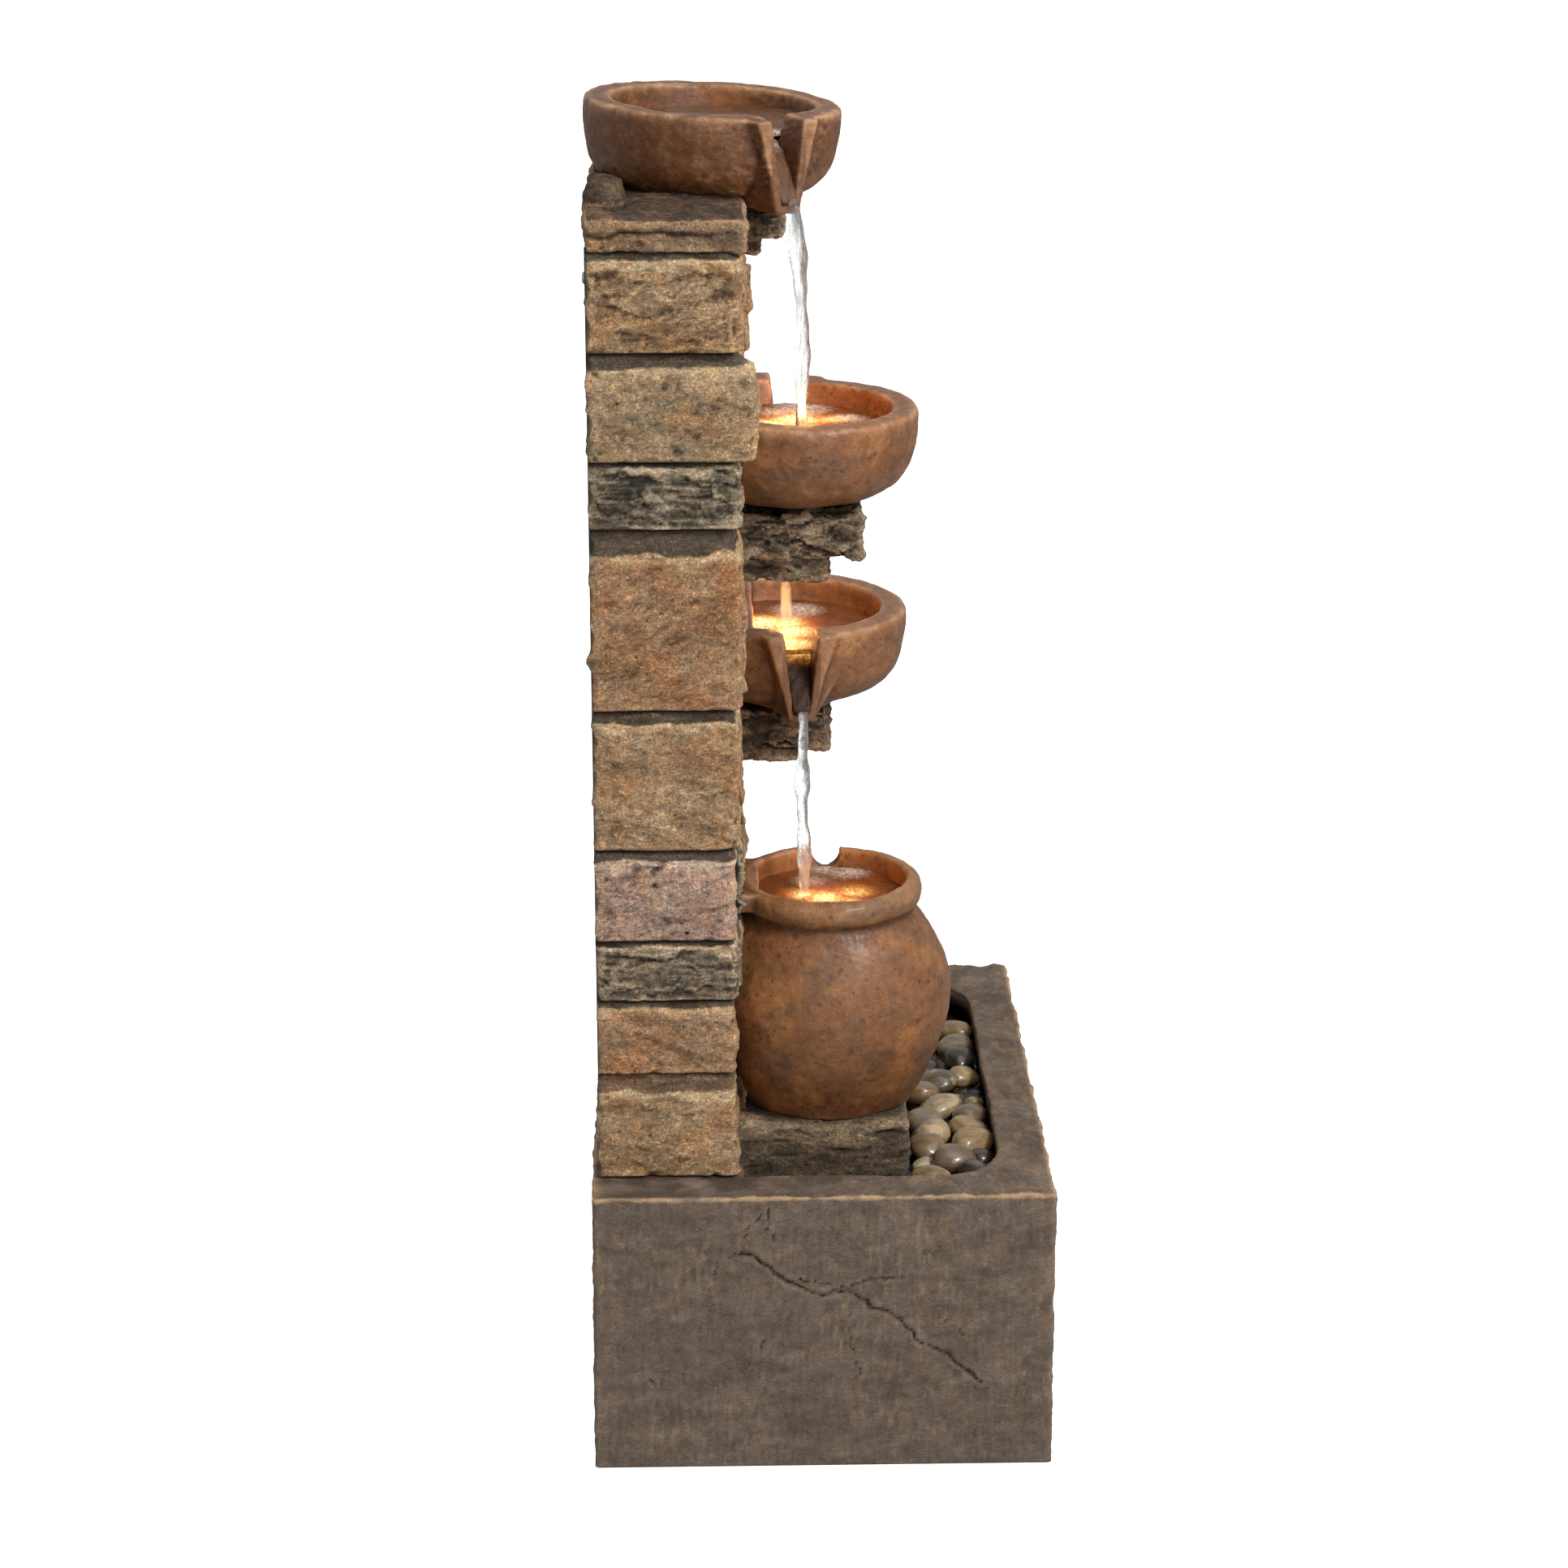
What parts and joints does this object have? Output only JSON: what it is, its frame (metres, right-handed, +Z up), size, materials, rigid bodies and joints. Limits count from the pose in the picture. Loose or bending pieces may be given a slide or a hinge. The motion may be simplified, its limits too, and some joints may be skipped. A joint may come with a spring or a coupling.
{
  "type": "cascading tabletop water fountain",
  "caption": "Recirculating fountain: hollow stone-look wall on a pebble basin, tilted bowls with V spouts, overflow pot, pump, lights",
  "frame": {"origin": "middle of the footprint, on the floor", "axes": "+Z up; -Y is the front, where the bowls and the pebble pool are; +X to the right seen from the front"},
  "size_m": [0.396, 0.29, 0.8398],
  "materials": {
    "base_resin": "cast stone-filled resin, dark brown-grey, dry brushed tan on edges, matt",
    "wall_stone": "cast stone-filled resin painted as tan, orange, mauve and slate blocks, matt",
    "ledge_stone": "cast stone-filled resin, dark layered rock with tan highlights, matt",
    "terracotta": "terracotta-brown cast resin with dark patina and worn rims, slightly glossy",
    "pebble": "polished river pebbles, wet",
    "black_plastic": "moulded black plastic",
    "grey_plastic": "moulded grey plastic",
    "rubber": "soft black rubber",
    "cable": "black lead jacket",
    "vinyl": "clear vinyl hose",
    "light_lens": "warm white light lens",
    "steel": "stainless steel",
    "shaft_ceramic": "white technical ceramic, ground"
  },
  "bodies": {
    "root": {"base_basin": "base_resin", "back_panel": "base_resin", "stone_wall": "wall_stone", "pot_plinth": "ledge_stone", "top_ledge_stone": "ledge_stone", "top_ledge_lower_stone": "ledge_stone", "middle_ledge_stone": "ledge_stone", "middle_ledge_lower_stone": "ledge_stone", "lower_ledge_stone": "ledge_stone", "lower_ledge_lower_stone": "ledge_stone", "top_bowl": "terracotta", "middle_bowl": "terracotta", "lower_bowl": "terracotta", "overflow_pot": "terracotta", "pebble_01": "pebble", "pebble_02": "pebble", "pebble_03": "pebble", "pebble_04": "pebble", "pebble_05": "pebble", "pebble_06": "pebble", "pebble_07": "pebble", "pebble_08": "pebble", "pebble_09": "pebble", "pebble_10": "pebble", "pebble_11": "pebble", "pebble_12": "pebble", "pebble_tray": "black_plastic", "pump_body": "black_plastic", "riser_fitting": "black_plastic", "lead_splitter": "black_plastic", "cord_gland": "black_plastic", "middle_bowl_light_housing": "black_plastic", "lower_bowl_light_housing": "black_plastic", "pot_light_housing": "black_plastic", "volute_cover": "grey_plastic", "middle_bowl_lead_grommet": "rubber", "lower_bowl_lead_grommet": "rubber", "pot_lead_grommet": "rubber", "suction_cup_1": "rubber", "suction_cup_2": "rubber", "suction_cup_3": "rubber", "suction_cup_4": "rubber", "middle_bowl_light_lead": "cable", "lower_bowl_light_lead": "cable", "pot_light_lead": "cable", "pump_lead": "cable", "supply_lead": "cable", "riser_hose": "vinyl", "middle_bowl_light_lens": "light_lens", "lower_bowl_light_lens": "light_lens", "pot_light_lens": "light_lens", "back_panel_screw_1": "steel", "back_panel_screw_2": "steel", "back_panel_screw_3": "steel", "back_panel_screw_4": "steel", "impeller_shaft": "shaft_ceramic"},
    "impeller": {"impeller": "grey_plastic"},
    "strainer_cover": {"strainer_cover": "black_plastic"},
    "flow_dial": {"flow_dial": "grey_plastic"},
    "access_door": {"access_door": "base_resin"}
  },
  "joints": [
    {"name": "impeller_spin", "type": "hinge", "parent": "root", "child": "impeller", "pos_m": [-0.005, 0.1, 0.044], "axis": [1, 0, 0], "continuous": true},
    {"name": "strainer_slide", "type": "slide", "parent": "root", "child": "strainer_cover", "axis": [-1, 0, 0], "range_m": [0, 0.03]},
    {"name": "flow_dial_turn", "type": "hinge", "parent": "strainer_cover", "child": "flow_dial", "pos_m": [-0.052, 0.1, 0.044], "axis": [-1, 0, 0], "range_deg": [0, 90]},
    {"name": "access_door_pull", "type": "slide", "parent": "root", "child": "access_door", "axis": [0, 1, 0], "range_m": [0, 0.03]}
  ]
}
